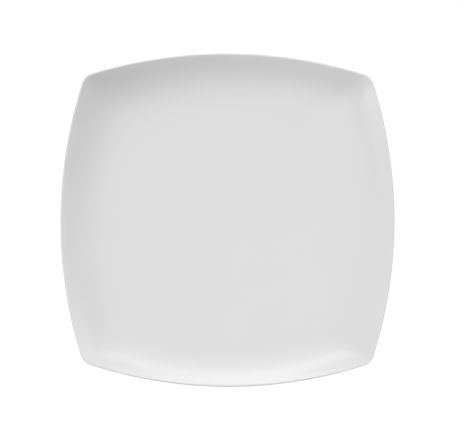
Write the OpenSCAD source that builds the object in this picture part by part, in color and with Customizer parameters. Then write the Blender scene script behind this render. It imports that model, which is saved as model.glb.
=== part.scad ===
// Square coupe dinner plate of glazed porcelain.
// Seen from above, every ring of the plate is a bowed square: four wide side arcs run smoothly
// into four corner arcs. The corners are tight at the rim and wide in the middle. A half section is
// carried round these rings, as a lathe carries one round circles. The middle of the plate is flat,
// and from there the plate curves up more and more steeply to its lip, which rises a little from
// the sides to the corners.
// The body is one piece of fired clay. The glaze is a thin coat of glass over all of it, apart
// from the band of the foot ring that stands on the table, which is bare.
// The origin is the middle of the plate on the table. The sides face along X and Y.

/* [Plate] */
// Width between the middles of two opposite sides, over the glaze
plate_width = 260; // [230:1:320]
// Height of the lip above the table in the middle of a side, over the glaze
plate_height = 22; // [18:0.5:30]
// How far the lip rises from the sides to the corners
corner_lift = 6; // [0:0.1:8]
// Radius of the upper edge of the lip, over the glaze
lip_edge_radius = 0.9; // [0.6:0.1:1.3]
// Radius of the side of the lip below that edge, over the glaze
lip_side_radius = 3.8; // [2:0.1:5]
// Radius of each bowed side of the rim
rim_side_radius = 348; // [240:1:600]
// Radius of each corner of the rim
rim_corner_radius = 11.7; // [6:0.1:30]

/* [Well and wall] */
// Width of the border in which the plate rises from its flat middle to its edge
border_width = 61; // [50:1:80]
// Length of the last stretch of the wall, between its curve and the lip
wall_stretch = 6; // [1:0.5:8]
// Angle by which the face eases off over that stretch. The back is straight there.
wall_easing = 4; // [0:0.5:6]
// Radius of each bowed side of the flat middle
well_side_radius = 120; // [90:1:300]
// Radius of each corner of the flat middle
well_corner_radius = 44; // [15:1:48]
// Thickness of the floor, over the glaze
floor_thickness = 5; // [4:0.1:7]

/* [Foot ring] */
// Distance from the edge of the plate in to the outer edge of the band
foot_setback = 47; // [35:0.5:60]
// Width of the flat band that stands on the table
foot_band = 3.2; // [2:0.1:6]
// Height of the glazed base above the table
foot_height = 2.8; // [2:0.1:4]
// Angle at which the sides of the foot ring lean in towards the table
foot_lean = 20; // [5:1:30]
// Radius of the two edges of the band
foot_edge_radius = 0.7; // [0.3:0.1:1]
// Radius of the fillets at the root of the foot ring, over the glaze
foot_root_radius = 1.2; // [0.8:0.1:2]

/* [Glaze] */
// Thickness of the glaze
glaze_thickness = 0.25; // [0.15:0.05:0.5]
// Length of the foot ring's sides that is wiped bare, from the rounded edges up
bare_length = 0.5; // [0.1:0.1:1]

/* [Hidden] */

// Straight pieces that each curve is drawn with
side_steps = 14;
corner_steps = 10;
face_steps = 8;
back_steps = 6;
stretch_steps = 2;
lip_inner_steps = 1;
lip_crown_steps = 4;
lip_side_steps = 3;
root_steps = 2;
quarter_steps = side_steps + corner_steps;
ring_steps = 4 * quarter_steps;

// Share of the edge radius that is ground off the foot ring to make its band flat
grinding_share = 0.3;

// The face and the back climb with these powers of the distance from where they start, and the
// lip rises towards the corners with the last
face_power = 3;
back_power = 2;
lift_power = 3;
// Rounds in which the angle of the wall settles
angle_rounds = 12;

half_width = plate_width / 2;
well_half = half_width - border_width;
well_top = foot_height + floor_thickness;
lip_level = plate_height - lip_edge_radius;

function unit(angle) = [cos(angle), sin(angle)];
function reverse(list) = [for (i = [len(list) - 1 : -1 : 0]) list[i]];

// Side and corner radius of the ring of half width w: inside the well they shrink with the ring,
// and across the border they pass evenly from the well's to the rim's.
function border_share(w) = (w - well_half) / border_width;
function blend(well_size, rim_size, w) =
    w < well_half ? well_size * w / well_half
    : well_size + (rim_size - well_size) * border_share(w);

// How far the ring of half width w is lifted at its corners: the lift starts at the foot ring
function lift(w) =
    w < root_centre(1).x ? 0
    : corner_lift * ((w - root_centre(1).x) / (half_width - root_centre(1).x)) ^ lift_power;

// The points of the ring of half width w at height z. The side arc is centred on the X axis and
// the corner arc on the diagonal, and the two arcs meet without a kink. A point is lifted by its
// share of the way from the distance of a side's middle to that of a corner.
function ring(w, z) =
    let(
        side_radius = blend(well_side_radius, rim_side_radius, w),
        corner_radius = blend(well_corner_radius, rim_corner_radius, w),
        back = side_radius - w,
        reach = side_radius - corner_radius,
        corner_at = (sqrt(2 * reach * reach - back * back) - back) / 2,
        swing = atan2(corner_at, corner_at + back),
        side_arc = [for (i = [0 : side_steps - 1])
            [-back, 0] + side_radius * unit(swing * (2 * i / side_steps - 1))],
        corner_arc = [for (i = [0 : corner_steps - 1])
            [corner_at, corner_at]
                + corner_radius * unit(swing + (90 - 2 * swing) * i / corner_steps)],
        quarter = concat(side_arc, corner_arc),
        corner_reach = norm([corner_at, corner_at]) + corner_radius
    )
    [for (turn = [0 : 90 : 270]) for (p = quarter)
        [p.x * cos(turn) - p.y * sin(turn), p.x * sin(turn) + p.y * cos(turn),
            z + lift(w) * (norm(p) - w) / (corner_reach - w)]];

// Parts of the half section, as [half width, height] points. Depth is how far a surface lies
// below the outside of the glaze: zero for the glaze, glaze_thickness for the clay.

// The foot ring. Its edges are round before the band is ground flat at the table. The side is 1
// for the outside of the ring and -1 for the inside.
edge_height = foot_edge_radius * (1 - grinding_share);
edge_run = sqrt(foot_edge_radius ^ 2 - edge_height ^ 2);
ground_at = asin(1 - grinding_share);
band_outer = half_width - foot_setback;
band_inner = band_outer - foot_band;
function edge_centre(side) = [(side > 0 ? band_outer : band_inner) - side * edge_run, edge_height];
function root_centre(side) =
    let(drop = foot_height - foot_root_radius - edge_height)
    [edge_centre(side).x + side * (foot_root_radius + glaze_thickness + foot_edge_radius
        + drop * sin(foot_lean)) / cos(foot_lean), foot_height - foot_root_radius];

// The glazed part of one side of the foot ring, from its root down
function foot_side(side, depth) =
    concat(
        [for (i = [0 : root_steps])
            let(angle = (90 - foot_lean) * i / root_steps)
            root_centre(side) + (foot_root_radius + depth) * [-side * sin(angle), cos(angle)]],
        [edge_centre(side) + (foot_edge_radius + glaze_thickness - depth)
            * [side * cos(foot_lean), -sin(foot_lean)]
            + bare_length * [side * sin(foot_lean), cos(foot_lean)]]
    );
// The bare part below it, round the edge and past the level at which it is ground flat
function foot_edge(side) =
    [for (angle = [foot_lean, (foot_lean + ground_at) / 2, ground_at, 90])
        edge_centre(side) + foot_edge_radius * [side * cos(angle), -sin(angle)]];

// The lip is two arcs that meet at the edge of the plate: its upper edge, from the face on, and its
// side, on to the back. Turn_out is 1 on the face and -1 on the back.
function lip_radius(turn_out) = turn_out > 0 ? lip_edge_radius : lip_side_radius;
function lip_centre(turn_out) = [half_width - lip_radius(turn_out), lip_level];

// A wall is a curve, a stretch and its half of the lip, each touching the next. The stretch starts
// at the given angle and eases off in even steps, and stretched gives how far a count of them gets.
function easing(turn_out) = turn_out > 0 ? wall_easing : 0;
function stretched(turn_out, angle, count) =
    count < 1 ? [0, 0]
    : stretched(turn_out, angle, count - 1)
        + wall_stretch / stretch_steps
            * unit(angle - easing(turn_out) * (count - 1 / 2) / stretch_steps);

// The curve leaves its start level and climbs with a power of the distance. Curve_end is where it
// ends if the stretch starts at the given angle, and wall_angle finds that angle by working it out
// again from the last one.
function curve_end(turn_out, angle) =
    lip_centre(turn_out)
        + turn_out * lip_radius(turn_out) * unit(angle - easing(turn_out) + 90)
        - stretched(turn_out, angle, stretch_steps);
function wall_angle(start, power, turn_out, angle = 0, rounds = angle_rounds) =
    let(climb = curve_end(turn_out, angle) - start, next = atan2(power * climb.y, climb.x))
    rounds < 1 ? angle : wall_angle(start, power, turn_out, next, rounds - 1);

function wall(start, power, turn_out, depth, steps) =
    let(
        angle = wall_angle(start, power, turn_out),
        end = curve_end(turn_out, angle),
        climb = end - start
    )
    concat(
        [for (i = [0 : steps])
            let(u = i / steps, slope = atan2(power * climb.y * u ^ (power - 1), climb.x))
            start + [climb.x * u, climb.y * u ^ power] - turn_out * depth * unit(slope + 90)],
        [for (i = [1 : stretch_steps - 1])
            end + stretched(turn_out, angle, i)
                - turn_out * depth * unit(angle - easing(turn_out) * i / stretch_steps + 90)]
    );

face_start = [well_half, well_top];
back_start = [root_centre(1).x, foot_height];
function face(depth) = wall(face_start, face_power, 1, depth, face_steps);
function back(depth) = wall(back_start, back_power, -1, depth, back_steps);

// The lip has a point at its very top and at its very edge, so that the plate keeps its full
// height and width however few steps it is drawn with. Each arc leaves its last point to the next.
function lip_point(turn_out, depth, angle) =
    lip_centre(turn_out) + (lip_radius(turn_out) - depth) * unit(angle);
function lip_arc(turn_out, depth, first, last, steps) =
    [for (i = [0 : steps - 1]) lip_point(turn_out, depth, first + (last - first) * i / steps)];
function lip(depth) =
    let(
        first = 90 + wall_angle(face_start, face_power, 1) - easing(1),
        last = wall_angle(back_start, back_power, -1) - 90
    )
    concat(
        lip_arc(1, depth, first, 90, lip_inner_steps),
        lip_arc(1, depth, 90, 0, lip_crown_steps),
        lip_arc(-1, depth, 0, last, lip_side_steps),
        [lip_point(-1, depth, last)]
    );

function upper_skin(depth) =
    concat(
        [[0, well_top - depth]],
        face(depth),
        lip(depth),
        reverse(back(depth)),
        foot_side(1, depth)
    );
function base_skin(depth) = concat(reverse(foot_side(-1, depth)), [[0, foot_height + depth]]);

clay_section = concat(
    upper_skin(glaze_thickness), foot_edge(1), reverse(foot_edge(-1)), base_skin(glaze_thickness)
);
coat_section = concat(upper_skin(0), reverse(upper_skin(glaze_thickness)));
base_section = concat(reverse(base_skin(glaze_thickness)), base_skin(0));

// Carries a half section round the rings. Its first and last points are on the middle axis. The
// two triangles of each patch are split so that every half of a side mirrors the other.
module carry_round(section) {
    rings = [for (i = [1 : len(section) - 2]) ring(section[i].x, section[i].y)];
    last = len(rings) - 1;
    start_point = [0, 0, section[0].y];
    end_point = [0, 0, section[len(section) - 1].y];
    end = 1 + len(rings) * ring_steps;
    function at(i, j) = 1 + i * ring_steps + j % ring_steps;
    function mirrored(j) =
        let(k = j % quarter_steps)
        k >= side_steps / 2 && k < side_steps + corner_steps / 2;
    function patch(a, b, c, d, other) = other ? [[a, b, d], [b, c, d]] : [[a, b, c], [a, c, d]];
    polyhedron(
        points = concat([start_point], [for (r = rings) each r], [end_point]),
        faces = concat(
            [for (j = [0 : ring_steps - 1]) [0, at(0, j + 1), at(0, j)]],
            [for (i = [0 : last - 1]) for (j = [0 : ring_steps - 1])
                each patch(at(i, j), at(i, j + 1), at(i + 1, j + 1), at(i + 1, j), mirrored(j))],
            [for (j = [0 : ring_steps - 1]) [at(last, j), at(last, j + 1), end]]
        )
    );
}

// The fired clay, its band ground flat at the table
module porcelain_body() {
    color("#f4f3ef")
        difference() {
            carry_round(clay_section);
            translate([-half_width, -half_width, -plate_height])
                cube([plate_width, plate_width, plate_height]);
        }
}

// The glaze over the face, round the lip and down the back to the foot ring
module glaze_coat() {
    color("#fbfbfa") carry_round(coat_section);
}

// The glaze inside the foot ring
module base_glaze() {
    color("#eef0f2") carry_round(base_section);
}

porcelain_body();
glaze_coat();
base_glaze();
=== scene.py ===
import math
import bpy
import numpy as np
from mathutils import Matrix, Vector


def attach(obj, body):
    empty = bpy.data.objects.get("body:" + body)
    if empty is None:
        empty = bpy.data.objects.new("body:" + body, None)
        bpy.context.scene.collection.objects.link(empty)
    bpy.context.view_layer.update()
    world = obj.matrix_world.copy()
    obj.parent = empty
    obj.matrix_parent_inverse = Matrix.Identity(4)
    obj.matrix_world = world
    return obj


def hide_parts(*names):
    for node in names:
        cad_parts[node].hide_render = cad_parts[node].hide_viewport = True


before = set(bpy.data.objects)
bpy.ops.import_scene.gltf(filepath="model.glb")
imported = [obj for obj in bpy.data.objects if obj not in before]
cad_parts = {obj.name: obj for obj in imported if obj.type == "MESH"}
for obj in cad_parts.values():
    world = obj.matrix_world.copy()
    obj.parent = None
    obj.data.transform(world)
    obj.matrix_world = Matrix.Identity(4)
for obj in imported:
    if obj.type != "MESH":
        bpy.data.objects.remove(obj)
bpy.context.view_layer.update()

# A square coupe dinner plate of glazed porcelain, seen from above. The fired clay, the glaze over
# its face, lip and back, and the glaze inside its foot ring are three closed shells. Each is one
# half section carried round the plate's bowed square rings.

mm = 0.001
print("frame loaded:", ", ".join(sorted(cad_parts)))

# Sizes in millimetres and angles in radians, as the plate was built
plate = {
    "halfWidth": 130,          # to the middle of a side
    "height": 22,              # of the lip in the middle of a side
    "lipEdgeRadius": 0.9,      # of the upper edge of the lip
    "lipSideRadius": 3.8,      # of its side, below that edge
    "rimSideRadius": 348,      # of each bowed side of the rim
    "rimCornerRadius": 11.7,
    "cornerLift": 6,           # how far the lip rises from the sides to the corners
    "liftPower": 3,            # the lift grows with this power of the distance from the foot ring
    "borderWidth": 61,         # from the flat middle of the well out to the edge
    "facePower": 3,            # the face climbs with this power of the distance from the flat
    "backPower": 2,            # and the back with this one, from the foot ring
    "wallStretch": 6,          # between the curve of the wall and the lip
    "wallEasing": math.radians(4),    # by which the face eases off over that stretch
    "wellSideRadius": 120,     # of each bowed side of the flat middle
    "wellCornerRadius": 44,
    "floorThickness": 5,
    "wellSag": 0.4,            # how far the middle of the floor sinks in the kiln
    "footHeight": 2.8,
    "footSetback": 47,         # from the edge of the plate in to the band
    "footBand": 3.2,           # the flat band that stands on the table
    "footLean": math.radians(20),     # of the sides of the foot ring, towards the table
    "footEdgeRadius": 0.7,
    "footRootRadius": 1.2,
    "groundShare": 0.3,        # share of the edge radius that is ground off the band
    "glaze": 0.25,             # thickness of the glaze
    "bareLength": 0.5,         # of the foot ring's sides, wiped clean above the round edges
}
quarterTurn = math.pi / 2
wellHalf = plate["halfWidth"] - plate["borderWidth"]
wellTop = plate["footHeight"] + plate["floorThickness"]
lipLevel = plate["height"] - plate["lipEdgeRadius"]
bandOuter = plate["halfWidth"] - plate["footSetback"]
bandInner = bandOuter - plate["footBand"]
edgeHeight = plate["footEdgeRadius"] * (1 - plate["groundShare"])

# How finely the surfaces are divided: columns go round the rings, and rows along the section
columns = {"side": 72, "corner": 24}
rows = {"well": 12, "wall": 32, "stretch": 6, "lipEdge": 16, "lipSide": 12, "root": 8, "footSide": 3,
        "edge": 6, "bead": 6, "base": 10}
leanRounds = 20                # in which the lean of a wall settles
samePoint = 1e-6               # points less than this many millimetres apart are one
sharpAngle = math.radians(35)  # edges that turn more than this are shaded sharp


# A ring of half width w is four side arcs and four corner arcs that meet without a kink. The side
# arc is side radius * (cos a, sin a) about (w - side radius, 0), for a from -swing to swing. The
# corner arc is corner radius * (cos a, sin a) about (k, k), from swing to 90 degrees - swing.
# Both radii shrink with the ring inside the well and pass evenly to the rim's across the border.
# A point is lifted by corner lift * (share of the way out from the foot ring) ** lift power * (share
# of the way from the distance of a side's middle to that of a corner).
def ringPoints(section):
    w = section[:, :1]

    def blended(wellSize, rimSize):
        outwards = (w - wellHalf) / plate["borderWidth"]
        onBorder = wellSize + (rimSize - wellSize) * outwards
        return np.where(w < wellHalf, wellSize * w / wellHalf, onBorder)

    sideRadius = blended(plate["wellSideRadius"], plate["rimSideRadius"])
    cornerRadius = blended(plate["wellCornerRadius"], plate["rimCornerRadius"])
    back = sideRadius - w
    reach = sideRadius - cornerRadius
    k = (np.sqrt(2 * reach ** 2 - back ** 2) - back) / 2
    swing = np.arctan2(k, k + back)
    sideAngle = swing * (2 * np.arange(columns["side"]) / columns["side"] - 1)
    cornerAngle = swing + (quarterTurn - swing * 2) * np.arange(columns["corner"]) / columns["corner"]
    x = np.hstack([sideRadius * np.cos(sideAngle) - back, k + cornerRadius * np.cos(cornerAngle)])
    y = np.hstack([sideRadius * np.sin(sideAngle), k + cornerRadius * np.sin(cornerAngle)])
    x, y = np.hstack([x, -y, -x, y]), np.hstack([y, x, -y, -x])
    liftStart = rootCentre(1)[0]
    outwards = np.clip((w - liftStart) / (plate["halfWidth"] - liftStart), 0, None)
    towardsCorner = (np.hypot(x, y) - w) / (k * math.sqrt(2) + cornerRadius - w)
    z = section[:, 1:] + plate["cornerLift"] * outwards ** plate["liftPower"] * towardsCorner
    return np.stack([x, y, z], axis=2)


# Centre + radius * (cos a, sin a), with a in even steps
def arc(centre, radius, startAngle, endAngle, steps):
    a = np.linspace(startAngle, endAngle, steps + 1)
    return np.array(centre) + radius * np.stack([np.cos(a), np.sin(a)], axis=1)


# Runs end to end as one line. A point that repeats the one before it is left out.
def joined(*runs):
    line = np.vstack(runs)
    gaps = np.hypot(*np.diff(line, axis=0).T)
    return line[np.concatenate([[True], gaps > samePoint])]


# The lip is two arcs that meet at the very edge: its upper edge, which touches the face, and its side,
# which touches the back. The arc of a given radius is centred that far in, at the lip's level.
def lipCentre(radius):
    return np.array([plate["halfWidth"] - radius, lipLevel])


# A wall is a curve, a stretch and its arc of the lip, each touching the next. The curve leaves the
# level start point smoothly and climbs by rise * u ** power, where u is the share of the way out. The
# stretch goes on at the angle in which the curve ends, its lean, and eases off in even steps. The lean
# is found by working it out again and again from the last one. Turn out is 1 on the face and -1 on the
# back. Gives the points, and the angle at which they meet the lip.
def wall(start, power, turnOut, radius, easing, depth):
    stepShare = np.arange(rows["stretch"] + 1)[:, None] / rows["stretch"]
    lean = 0
    for attempt in range(leanRounds):
        a = lean - easing * (stepShare[1:] + stepShare[:-1]) / 2
        headings = np.hstack([np.cos(a), np.sin(a)])
        stretch = np.cumsum(headings, axis=0) * plate["wallStretch"] / rows["stretch"]
        normal = np.array([-math.sin(lean - easing), math.cos(lean - easing)])
        climb = lipCentre(radius) + turnOut * radius * normal - stretch[-1] - start
        lean = math.atan2(power * climb[1], climb[0])
    u = np.linspace(0, 1, rows["wall"] + 1)[:, None]
    line = start + np.vstack([np.hstack([u, u ** power]) * climb, climb + stretch])
    curveSlope = np.arctan2(power * u ** (power - 1) * climb[1], climb[0])
    slope = np.vstack([curveSlope, lean - easing * stepShare[1:]])
    return line + depth * turnOut * np.hstack([np.sin(slope), -np.cos(slope)]), lean - easing


# The face, the lip and the back, from the middle of the well out and round to the foot ring. Depth
# is how far the skin lies below the outside of the glaze.
def faceAndBack(depth):
    edgeRadius, sideRadius = plate["lipEdgeRadius"], plate["lipSideRadius"]
    faceStart = [wellHalf, wellTop]
    backStart = [rootCentre(1)[0], plate["footHeight"]]
    face, faceAngle = wall(faceStart, plate["facePower"], 1, edgeRadius, plate["wallEasing"], depth)
    back, backAngle = wall(backStart, plate["backPower"], -1, sideRadius, 0, depth)
    level = wellTop - depth
    well = np.linspace([0, level], [wellHalf, level], rows["well"] + 1)
    lipEdge = arc(lipCentre(edgeRadius), edgeRadius - depth, quarterTurn + faceAngle, 0, rows["lipEdge"])
    lipSide = arc(lipCentre(sideRadius), sideRadius - depth, 0, backAngle - quarterTurn, rows["lipSide"])
    return joined(well, face, lipEdge, lipSide, back[::-1])


# Centre of the rounded edge of the band. The band is ground flat, so the centre lies in from where the
# band ends by sqrt(edge radius ** 2 - edge height ** 2). Side is 1 outside the foot ring and -1 inside.
def edgeCentre(side):
    across = math.sqrt(plate["footEdgeRadius"] ** 2 - edgeHeight ** 2)
    return np.array([(bandOuter if side > 0 else bandInner) - side * across, edgeHeight])


# Centre of the fillet at the root of the foot ring. A straight side at the foot's lean joins it to the
# rounded edge, so it lies (radii + drop * sin lean) / cos lean to the side of the edge's centre.
def rootCentre(side):
    lean = plate["footLean"]
    height = plate["footHeight"] - plate["footRootRadius"]
    radii = plate["footRootRadius"] + plate["glaze"] + plate["footEdgeRadius"]
    across = (radii + (height - edgeHeight) * math.sin(lean)) / math.cos(lean)
    return np.array([edgeCentre(side)[0] + side * across, height])


# One side of the foot ring from its root down, as far as the glaze goes. The outside of the glaze
# ends in a bead, a quarter circle that rolls in to the clay.
def footSide(side, depth):
    lean = plate["footLean"]
    outward = np.array([side * math.cos(lean), -math.sin(lean)])
    upward = np.array([side * math.sin(lean), math.cos(lean)])
    root = arc(rootCentre(side), plate["footRootRadius"] + depth,
               quarterTurn, quarterTurn + side * (quarterTurn - lean), rows["root"])
    end = edgeCentre(side) + plate["footEdgeRadius"] * outward + plate["bareLength"] * upward
    turn = np.linspace(0, quarterTurn, rows["bead"] + 1)[:, None]
    bead = end + plate["glaze"] * (upward + np.cos(turn) * outward - np.sin(turn) * upward)
    ending = [end] if depth > 0 else bead
    return joined(root, np.linspace(root[-1], ending[0], rows["footSide"] + 1), ending)


# The bare rounded edge below the glaze, down to the level at which the band is ground flat
def footEdge(side):
    a = np.array([plate["footLean"], math.asin(1 - plate["groundShare"])])
    start, end = -a if side > 0 else math.pi + a
    return arc(edgeCentre(side), plate["footEdgeRadius"], start, end, rows["edge"])


# The base inside the foot ring, from the middle out to the ring and down its inner side
def baseSkin(depth):
    level = plate["footHeight"] + depth
    base = np.linspace([0, level], [rootCentre(-1)[0], level], rows["base"] + 1)
    return joined(base, footSide(-1, depth))


# The floor sinks inside the foot ring by sag * (1 - (w / inner radius) ** 2) ** 2.
def sunk(section):
    share = np.clip(section[:, 0] / bandInner, 0, 1)
    return section - np.stack([0 * share, plate["wellSag"] * (1 - share ** 2) ** 2], axis=1)


# How much glaze gathers along a line: (1 + tanh(turn / full turn)) / 2, where turn is how far the
# line turns over twice the reach. Glaze draws thin over the lip (0) and pools in hollows (1). What
# doesn't show gets the value of a flat skin.
glazeFlow = {"reach": 3, "fullTurn": math.radians(18), "flat": 0.5}


def gathering(line):
    step = np.diff(line, axis=0)
    along = np.concatenate([[0], np.cumsum(np.hypot(*step.T))])
    heading = np.unwrap(np.arctan2(step[:, 1], step[:, 0]))
    middle = (along[1:] + along[:-1]) / 2
    before, after = (np.interp(along + side * glazeFlow["reach"], middle, heading) for side in (-1, 1))
    return (1 + np.tanh((after - before) / glazeFlow["fullTurn"])) / 2


# Carries a section round the rings as a closed shell: point (i, j) is column j of the ring of
# section point i. The first and last points lie on the middle axis and become poles. The outer part
# of the section shows, and the inner part closes it.
def carryRound(name, node, material, outer, inner):
    section = sunk(joined(outer, inner))
    depth = np.full(len(section), glazeFlow["flat"])
    depth[:len(outer)] = gathering(outer)
    rings = ringPoints(section[1:-1])
    ringCount, columnCount = rings.shape[:2]
    poles = np.array([[[0, 0, z]] for z in section[[0, -1], 1]])
    points = np.vstack([poles[0], rings.reshape(-1, 3), poles[1]]) * mm
    at = 1 + np.arange(ringCount * columnCount).reshape(ringCount, columnCount)
    after = np.roll(at, -1, axis=1)
    walls = np.stack([at[:-1], at[1:], after[1:], after[:-1]], axis=2).reshape(-1, 4)
    top = np.stack([np.zeros_like(at[0]), at[0], after[0]], axis=1)
    bottom = np.stack([np.full_like(at[0], len(points) - 1), after[-1], at[-1]], axis=1)
    mesh = bpy.data.meshes.new(name)
    mesh.from_pydata(points.tolist(), [], top.tolist() + walls.tolist() + bottom.tolist())
    mesh.shade_smooth()
    mesh.set_sharp_from_angle(angle=sharpAngle)
    values = np.concatenate([depth[:1], np.repeat(depth[1:-1], columnCount), depth[-1:]])
    glazeDepth = mesh.attributes.new("glazeDepth", "FLOAT", "POINT")
    glazeDepth.data.foreach_set("value", values.astype(np.float32))
    mesh.materials.append(material)
    piece = bpy.data.objects.new(name, mesh)
    bpy.context.scene.collection.objects.link(piece)
    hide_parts(node)
    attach(piece, "root")
    print(name, "made with", len(mesh.polygons), "faces")


# sRGB hex to linear: c / 12.92 up to 0.04045, and ((c + 0.055) / 1.055) ** 2.4 above it
def linear(hexColour):
    channels = [int(hexColour[i:i + 2], 16) / 255 for i in (1, 3, 5)]
    return [c / 12.92 if c <= 0.04045 else ((c + 0.055) / 1.055) ** 2.4 for c in channels] + [1]


# Adds a node. Inputs are given by socket name or number, each as a value or as the output that
# feeds it, and settings are the node's own. In a colour Mix node, socket 0 is the factor, 6 and 7
# are the colours and output 2 is the result.
def addNode(tree, kind, inputs, **settings):
    node = tree.nodes.new("ShaderNode" + kind)
    for key, value in settings.items():
        setattr(node, key, value)
    for key, value in inputs.items():
        if isinstance(value, bpy.types.NodeSocket):
            tree.links.new(value, node.inputs[key])
        else:
            node.inputs[key].default_value = value
    return node


# The part of Blender's noise, which runs from 0 to 1, that is stretched over a pattern's whole range
noiseSpan = {"From Min": 0.3, "From Max": 0.7}

# Clear feldspar glaze fired on white clay: a hard, smooth gloss over opaque white. It is a touch
# warmer where it draws thin over the lip and a touch cooler where it gathers in hollows. Its skin
# ripples very slightly, which softens and bends reflections. Lengths are in millimetres.
clearGlaze = {
    "thin": "#e6e6e5",
    "gathered": "#e4e5e5",
    "cloudLength": 45,         # of the faint clouding in the white
    "cloudDetail": 3,
    "cloudShare": 0.012,       # by which the clouds darken it
    "speck": "#b5b0a6",
    "speckSpacing": 34,        # between the few kiln specks
    "speckWidth": 1.1,         # drawn wider than the real 0.3 mm, so that it shows
    "speckCore": 1 / 3,        # share of a speck's width that has its full colour
    "speckShare": 0.25,        # of the places for a speck that have one
    "speckStrength": 0.3,
    "ior": 1.5,
    "glossiest": 0.10,         # roughness where the glaze is smoothest, and where it is dullest
    "dullest": 0.16,
    "polishLength": 30,        # over which the gloss varies
    "rippleLength": 11,
    "rippleDetail": 1,
    "rippleHeight": 0.02,
    "skinLength": 1.6,         # of the finest unevenness
    "skinHeight": 0.0012,
}


def glazedPorcelain():
    look = clearGlaze
    material = bpy.data.materials.new("clearGlazedPorcelain")
    material.use_nodes = True
    tree = material.node_tree
    tree.nodes.clear()
    place = addNode(tree, "TexCoord", {}).outputs["Object"]
    depth = addNode(tree, "Attribute", {}, attribute_name="glazeDepth").outputs["Fac"]
    white = addNode(tree, "Mix", {0: depth, 6: linear(look["thin"]), 7: linear(look["gathered"])},
                    data_type="RGBA").outputs[2]
    clouds = addNode(tree, "TexNoise", {"Vector": place, "Scale": 1 / (look["cloudLength"] * mm),
                                        "Detail": look["cloudDetail"]}).outputs["Fac"]
    clouding = addNode(tree, "MapRange", {"Value": clouds, **noiseSpan, "To Min": 1 - look["cloudShare"],
                                          "To Max": 1}).outputs[0]
    clouded = addNode(tree, "Mix", {0: 1, 6: white, 7: clouding}, data_type="RGBA",
                      blend_type="MULTIPLY").outputs[2]
    cells = addNode(tree, "TexVoronoi", {"Vector": place, "Scale": 1 / (look["speckSpacing"] * mm)},
                    voronoi_dimensions="2D")
    speckReach = look["speckWidth"] / 2 / look["speckSpacing"]
    spots = addNode(tree, "MapRange", {
        "Value": cells.outputs["Distance"], "From Min": speckReach * look["speckCore"],
        "From Max": speckReach, "To Min": look["speckStrength"], "To Max": 0},
        interpolation_type="SMOOTHSTEP").outputs[0]
    pick = addNode(tree, "SeparateColor", {0: cells.outputs["Color"]}).outputs[0]
    chosen = addNode(tree, "Math", {0: pick, 1: look["speckShare"]}, operation="LESS_THAN").outputs[0]
    specks = addNode(tree, "Math", {0: spots, 1: chosen}, operation="MULTIPLY").outputs[0]
    colour = addNode(tree, "Mix", {0: specks, 6: clouded, 7: linear(look["speck"])},
                     data_type="RGBA").outputs[2]
    polish = addNode(tree, "TexNoise", {"Vector": place, "Scale": 1 / (look["polishLength"] * mm)})
    roughness = addNode(tree, "MapRange", {
        "Value": polish.outputs["Fac"], **noiseSpan,
        "To Min": look["glossiest"], "To Max": look["dullest"]}).outputs[0]
    ripple = addNode(tree, "TexNoise", {"Vector": place, "Scale": 1 / (look["rippleLength"] * mm),
                                        "Detail": look["rippleDetail"]}).outputs["Fac"]
    skin = addNode(tree, "TexNoise", {"Vector": place,
                                      "Scale": 1 / (look["skinLength"] * mm)}).outputs["Fac"]
    rippled = addNode(tree, "Bump", {"Height": ripple, "Distance": look["rippleHeight"] * mm}).outputs[0]
    normal = addNode(tree, "Bump", {"Height": skin, "Distance": look["skinHeight"] * mm,
                                    "Normal": rippled}).outputs[0]
    surface = addNode(tree, "BsdfPrincipled", {"Base Color": colour, "Roughness": roughness,
                                               "IOR": look["ior"], "Normal": normal}).outputs[0]
    addNode(tree, "OutputMaterial", {"Surface": surface})
    return material


# Unglazed porcelain clay, wiped clean and ground flat on the foot ring: dull and faintly warm, with
# a fine sandy grain and the straight strokes of the grinding belt. Lengths are in millimetres.
bareClay = {
    "clay": "#dedbd5",
    "stroke": "#cbc7be",
    "strokeLength": 16,        # of the strokes, along X
    "strokeWidth": 0.5,
    "faintest": 0.45,          # noise at which a stroke begins to show, and at which it shows in full
    "strongest": 0.75,
    "grainWidth": 0.5,
    "grainDetail": 4,
    "grainHeight": 0.02,
    "roughness": 0.8,
}


def groundPorcelain():
    look = bareClay
    material = bpy.data.materials.new("bareGroundPorcelain")
    material.use_nodes = True
    tree = material.node_tree
    tree.nodes.clear()
    place = addNode(tree, "TexCoord", {}).outputs["Object"]
    stretched = addNode(tree, "Mapping", {"Vector": place, "Scale": (
        1 / (look["strokeLength"] * mm), 1 / (look["strokeWidth"] * mm), 1 / (look["strokeWidth"] * mm))})
    strokes = addNode(tree, "TexNoise", {"Vector": stretched.outputs[0], "Scale": 1}).outputs["Fac"]
    faded = addNode(tree, "MapRange", {"Value": strokes, "From Min": look["faintest"],
                                       "From Max": look["strongest"]}).outputs[0]
    colour = addNode(tree, "Mix", {0: faded, 6: linear(look["clay"]), 7: linear(look["stroke"])},
                     data_type="RGBA").outputs[2]
    grain = addNode(tree, "TexNoise", {"Vector": place, "Scale": 1 / (look["grainWidth"] * mm),
                                       "Detail": look["grainDetail"]}).outputs["Fac"]
    normal = addNode(tree, "Bump", {"Height": grain, "Distance": look["grainHeight"] * mm}).outputs[0]
    surface = addNode(tree, "BsdfPrincipled", {"Base Color": colour, "Roughness": look["roughness"],
                                               "Normal": normal}).outputs[0]
    addNode(tree, "OutputMaterial", {"Surface": surface})
    return material


bare = groundPorcelain()
glazed = glazedPorcelain()
glaze = plate["glaze"]
carryRound("porcelainBody", "porcelain_body", bare,
           joined(faceAndBack(glaze), footSide(1, glaze), footEdge(1)),
           joined(footEdge(-1)[::-1], baseSkin(glaze)[::-1]))
carryRound("glazeCoat", "glaze_coat", glazed,
           joined(faceAndBack(0), footSide(1, 0)), joined(faceAndBack(glaze), footSide(1, glaze))[::-1])
carryRound("baseGlaze", "base_glaze", glazed, baseSkin(glaze), baseSkin(0)[::-1])

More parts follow.
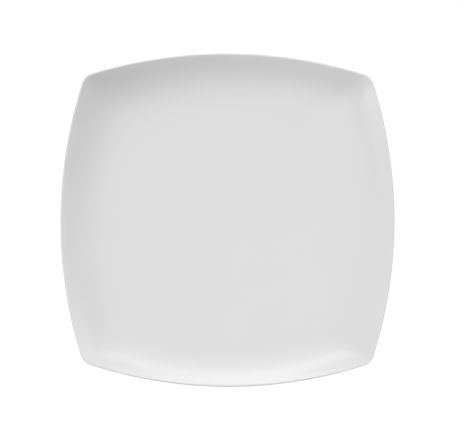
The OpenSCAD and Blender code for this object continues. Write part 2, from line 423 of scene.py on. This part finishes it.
# The table is a wide sheet of white paper. The camera sees it lifted to a clean white, as in a
# catalogue picture, and the plate is lit by the paper as it is. The radius is in metres.
table = {"paper": "#d6d6d6", "radius": 30, "sides": 96, "cameraPaper": "#959595", "cameraLift": 0.88}


def makeTable():
    turn = np.linspace(0, 2 * math.pi, table["sides"], endpoint=False)
    mesh = bpy.data.meshes.new("paperTable")
    points = table["radius"] * np.stack([np.cos(turn), np.sin(turn), 0 * turn], axis=1)
    mesh.from_pydata(points.tolist(), [], [list(range(len(points)))])
    material = bpy.data.materials.new("whitePaper")
    material.use_nodes = True
    tree = material.node_tree
    tree.nodes.clear()
    seen = addNode(tree, "LightPath", {}).outputs["Is Camera Ray"]
    paper = addNode(tree, "BsdfDiffuse", {"Color": linear(table["paper"])}).outputs[0]
    dim = addNode(tree, "BsdfDiffuse", {"Color": linear(table["cameraPaper"])}).outputs[0]
    lift = addNode(tree, "Emission", {"Strength": table["cameraLift"]}).outputs[0]
    lifted = addNode(tree, "AddShader", {0: dim, 1: lift}).outputs[0]
    surface = addNode(tree, "MixShader", {0: seen, 1: paper, 2: lifted}).outputs[0]
    addNode(tree, "OutputMaterial", {"Surface": surface})
    mesh.materials.append(material)
    paperTable = bpy.data.objects.new("paperTable", mesh)
    bpy.context.scene.collection.objects.link(paperTable)


makeTable()
print("table made")

# Soft studio light: a dim room with wide soft glows, as of windows and a lit ceiling, and an oval
# softbox on the far side. Together with the far window it gives the bright crescent on the near wall.
# Azimuth 0 is the near side, 90 the right and 180 the far side. Angles are in degrees, lengths in
# metres. The backdrop is what the camera sees: 1.25 makes it white, as the background's colour is 0.8.
room = {"level": 0.1, "backdrop": 1.25}
glows = {
    "farWindow": {"azimuth": 183, "elevation": 30, "spread": 20, "brightness": 3.3},
    "leftWindow": {"azimuth": 287, "elevation": 3, "spread": 20, "brightness": 5.3},
    "rightWindow": {"azimuth": 125, "elevation": 3, "spread": 20, "brightness": 5.0},
    "leftCeiling": {"azimuth": 323, "elevation": 66, "spread": 24, "brightness": 2.8},
    "rightCeiling": {"azimuth": 123, "elevation": 75, "spread": 24, "brightness": 1.55},
}
softboxes = {
    "farBank": {"azimuth": 184, "elevation": 30, "distance": 2.0, "size": (2.4, 0.46), "brightness": 1.3},
}


# The unit direction from the plate at an azimuth and an elevation:
# (sin azimuth * cos elevation, -cos azimuth * cos elevation, sin elevation)
def direction(azimuth, elevation):
    a, e = math.radians(azimuth), math.radians(elevation)
    return Vector((math.sin(a) * math.cos(e), -math.cos(a) * math.cos(e), math.sin(e)))


# The room's brightness is level + the sum of brightness * exp((cos a - 1) / (1 - cos spread)) over the
# glows, where a is the angle from the middle of the glow.
def lightRoom():
    world = bpy.data.worlds.new("paleRoom")
    bpy.context.scene.world = world
    world.use_nodes = True
    tree = world.node_tree
    tree.nodes.clear()
    towards = addNode(tree, "TexCoord", {}).outputs["Generated"]
    bright = room["level"]
    for glow in glows.values():
        middle = tuple(direction(glow["azimuth"], glow["elevation"]))
        cosine = addNode(tree, "VectorMath", {0: towards, 1: middle},
                         operation="DOT_PRODUCT").outputs["Value"]
        drop = addNode(tree, "Math", {0: cosine, 1: 1}, operation="SUBTRACT").outputs[0]
        narrow = 1 / (1 - math.cos(math.radians(glow["spread"])))
        fall = addNode(tree, "Math", {0: drop, 1: narrow}, operation="MULTIPLY").outputs[0]
        share = addNode(tree, "Math", {0: fall}, operation="EXPONENT").outputs[0]
        bright = addNode(tree, "Math", {0: share, 1: glow["brightness"], 2: bright},
                         operation="MULTIPLY_ADD").outputs[0]
    seen = addNode(tree, "LightPath", {}).outputs["Is Camera Ray"]
    strength = addNode(tree, "Mix", {0: seen, 2: bright, 3: room["backdrop"]}).outputs[0]
    background = addNode(tree, "Background", {"Strength": strength}).outputs[0]
    addNode(tree, "OutputWorld", {"Surface": background})


# A softbox is an oval, and its power is brightness * pi * its area.
def addSoftbox(name, box):
    light = bpy.data.lights.new(name, "AREA")
    light.shape = "ELLIPSE"
    light.size, light.size_y = box["size"]
    area = math.pi / 4 * light.size * light.size_y
    light.energy = box["brightness"] * math.pi * area
    softbox = bpy.data.objects.new(name, light)
    towards = direction(box["azimuth"], box["elevation"])
    softbox.location = towards * box["distance"]
    softbox.rotation_euler = towards.to_track_quat("Z", "Y").to_euler()
    softbox.visible_camera = False
    bpy.context.scene.collection.objects.link(softbox)


lightRoom()
for name, box in softboxes.items():
    addSoftbox(name, box)
print("light made with", len(glows), "glows and", len(softboxes), "softbox")

# The camera looks down from over the near side through a long lens. The middle of the rim and half
# its width are where they are in the photograph, in pixels. Angles are in degrees, and the lens and
# sensor in millimetres.
view = {
    "picture": (464, 427),
    "rimCentre": (227.42, 219.51),
    "halfWidth": 167.2,
    "elevation": 86,
    "roll": 0.17,
    "lens": 300,
    "sensor": 36,
    "clipStart": 0.1,          # the camera sees from here on, in distances to the plate
    "clipEnd": 20,             # and as far as this
}


# A pixel is the plate's half width / its half width in pixels. The camera is back from the rim by
# pixel * picture width * lens / sensor, and aside by the rim's distance from the picture's middle.
def makeCamera():
    pixel = plate["halfWidth"] * mm / view["halfWidth"]
    distance = pixel * view["picture"][0] * view["lens"] / view["sensor"]
    back = direction(0, view["elevation"])
    roll = Matrix.Rotation(math.radians(view["roll"]), 3, "Z")
    turned = back.to_track_quat("Z", "Y").to_matrix() @ roll
    right, up = turned.col[0], turned.col[1]
    aside = (view["picture"][0] / 2 - view["rimCentre"][0]) * pixel
    above = (view["rimCentre"][1] - view["picture"][1] / 2) * pixel
    lens = bpy.data.cameras.new("overheadCamera")
    lens.lens, lens.sensor_width = view["lens"], view["sensor"]
    lens.clip_start, lens.clip_end = distance * view["clipStart"], distance * view["clipEnd"]
    camera = bpy.data.objects.new("overheadCamera", lens)
    place = Vector((0, 0, plate["height"] * mm)) + back * distance + right * aside + up * above
    camera.matrix_world = Matrix.Translation(place) @ turned.to_4x4()
    bpy.context.scene.collection.objects.link(camera)
    bpy.context.scene.camera = camera


makeCamera()
bpy.context.scene.view_settings.view_transform = "Standard"
print("camera made")
